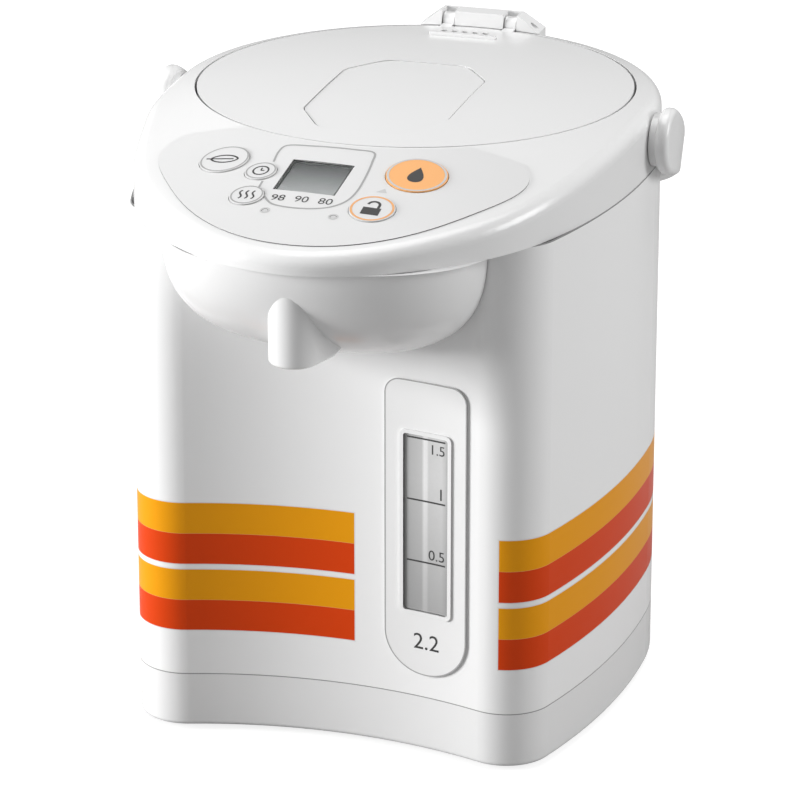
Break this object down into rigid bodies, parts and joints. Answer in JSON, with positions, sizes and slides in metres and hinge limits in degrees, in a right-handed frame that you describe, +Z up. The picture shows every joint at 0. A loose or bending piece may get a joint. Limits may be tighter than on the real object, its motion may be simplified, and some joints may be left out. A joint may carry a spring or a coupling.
{
  "type": "electric thermo pot",
  "caption": "Free-standing electric hot water dispenser with hinged round lid, push-key panel, fixed spout, level gauge, bail handle and swivel foot.",
  "frame": {"origin": "centre of the overall box, on the surface that the foot pads stand on", "axes": "+Z up, front and spout towards -Y, +X to the right of someone who faces the back from the front"},
  "size_m": [0.224, 0.2922, 0.26],
  "materials": {
    "white_plastic": "glossy white moulding",
    "printed_steel": "white enamel with yellow and orange stripes",
    "panel_film": "satin printed film",
    "clear_plastic": "clear",
    "display": "grey liquid crystal",
    "orange_key": "satin orange",
    "white_key": "satin white with printed ring",
    "steel": "brushed",
    "silicone": "soft translucent grey",
    "grey_plastic": "moulded grey",
    "gauge_surround": "pale grey film with white raised rim",
    "magnet": "ferrite",
    "motor_metal": "plated can",
    "rubber": "black rubber",
    "black_plastic": "black",
    "brass": "plated contact",
    "heater": "plate with element",
    "glass_tube": "clear tube",
    "board": "circuit board",
    "lamp": "lamp lens"
  },
  "bodies": {
    "pot": {"base_pan": "white_plastic", "outer_casing": "printed_steel", "collar": "white_plastic", "panel_overlay": "panel_film", "lcd_window": "clear_plastic", "lcd_module": "display", "spout_housing": "white_plastic", "spout_nozzle": "white_plastic", "inner_container": "steel", "vacuum_jacket": "steel", "mouth_packing": "silicone", "hinge_cover": "white_plastic", "hinge_pin": "steel", "handle_pins": "steel", "gauge_panel": "gauge_surround", "gauge_window": "clear_plastic", "pump_housing": "grey_plastic", "pump_motor": "motor_metal", "pump_bracket": "grey_plastic", "motor_cradle": "rubber", "power_inlet": "black_plastic", "inlet_pins": "brass", "base_screws": "steel", "vessel_support": "grey_plastic", "heater_ring": "heater", "thermostat": "black_plastic", "riser_pipe": "silicone", "gauge_tube": "glass_tube", "outlet_pipe": "silicone", "control_board": "board", "key_switches": "black_plastic", "indicator_lamps": "lamp", "power_board": "board", "lid_catch": "grey_plastic"},
    "lid": {"lid_cover": "white_plastic", "lid_inner_cover": "grey_plastic", "lever_pin": "steel", "steam_cap": "white_plastic", "lid_gasket": "silicone", "lever_springs": "steel", "valve_guide": "grey_plastic", "spill_valve": "silicone"},
    "lever": {"lid_lever": "white_plastic"},
    "latch": {"lid_latch": "grey_plastic"},
    "handle": {"carry_handle": "white_plastic"},
    "magnet_rotor": {"drive_magnet": "magnet"},
    "impeller": {"pump_impeller": "grey_plastic"},
    "swivel_foot": {"foot_ring": "grey_plastic", "foot_pads": "rubber"},
    "dispense_button": {"button_dispense": "orange_key"},
    "unlock_button": {"button_unlock": "white_key"},
    "energy_saver_button": {"button_energy_saver": "white_key"},
    "timer_button": {"button_timer": "white_key"},
    "keep_warm_button": {"button_keep_warm": "white_key"}
  },
  "joints": [
    {"name": "lid_hinge", "type": "hinge", "parent": "pot", "child": "lid", "pos_m": [0, 0.12753, 0.255], "axis": [-1, 0, 0], "range_deg": [0, 95]},
    {"name": "lid_lever_press", "type": "hinge", "parent": "lid", "child": "lever", "pos_m": [0, 0.04153, 0.2516], "axis": [1, 0, 0], "range_deg": [0, 3], "stiffness_Nm_per_rad": 0.6, "springref_deg": -11.46},
    {"name": "latch_slide", "type": "slide", "parent": "lid", "child": "latch", "axis": [0, 1, 0], "range_m": [0, 0.003]},
    {"name": "handle_swing", "type": "hinge", "parent": "pot", "child": "handle", "pos_m": [0, 0.02953, 0.239], "axis": [1, 0, 0], "range_deg": [0, 115]},
    {"name": "magnet_spin", "type": "hinge", "parent": "pot", "child": "magnet_rotor", "pos_m": [-0.014, 0.01153, 0.0324], "axis": [0, 0, 1], "continuous": true},
    {"name": "impeller_spin", "type": "hinge", "parent": "pot", "child": "impeller", "pos_m": [-0.014, 0.01153, 0.0394], "axis": [0, 0, 1], "continuous": true},
    {"name": "foot_swivel", "type": "hinge", "parent": "pot", "child": "swivel_foot", "pos_m": [0, 0.02953, 0.003], "axis": [0, 0, 1], "continuous": true},
    {"name": "dispense_press", "type": "slide", "parent": "pot", "child": "dispense_button", "axis": [-0.0727, 0.2314, -0.9701], "range_m": [0, 0.0008], "stiffness_N_per_m": 700, "springref_m": -0.0006},
    {"name": "unlock_press", "type": "slide", "parent": "pot", "child": "unlock_button", "axis": [-0.0429, 0.2387, -0.9701], "range_m": [0, 0.0008], "stiffness_N_per_m": 700, "springref_m": -0.0006},
    {"name": "energy_saver_press", "type": "slide", "parent": "pot", "child": "energy_saver_button", "axis": [0.0953, 0.223, -0.9701], "range_m": [0, 0.0008], "stiffness_N_per_m": 700, "springref_m": -0.0006},
    {"name": "timer_press", "type": "slide", "parent": "pot", "child": "timer_button", "axis": [0.0565, 0.2359, -0.9701], "range_m": [0, 0.0008], "stiffness_N_per_m": 700, "springref_m": -0.0006},
    {"name": "keep_warm_press", "type": "slide", "parent": "pot", "child": "keep_warm_button", "axis": [0.0485, 0.2376, -0.9701], "range_m": [0, 0.0008], "stiffness_N_per_m": 700, "springref_m": -0.0006}
  ],
  "couplings": [
    {"joint": "latch_slide", "follows": "lid_lever_press", "m_per_rad": 0.057},
    {"joint": "impeller_spin", "follows": "magnet_spin", "ratio": 1}
  ]
}
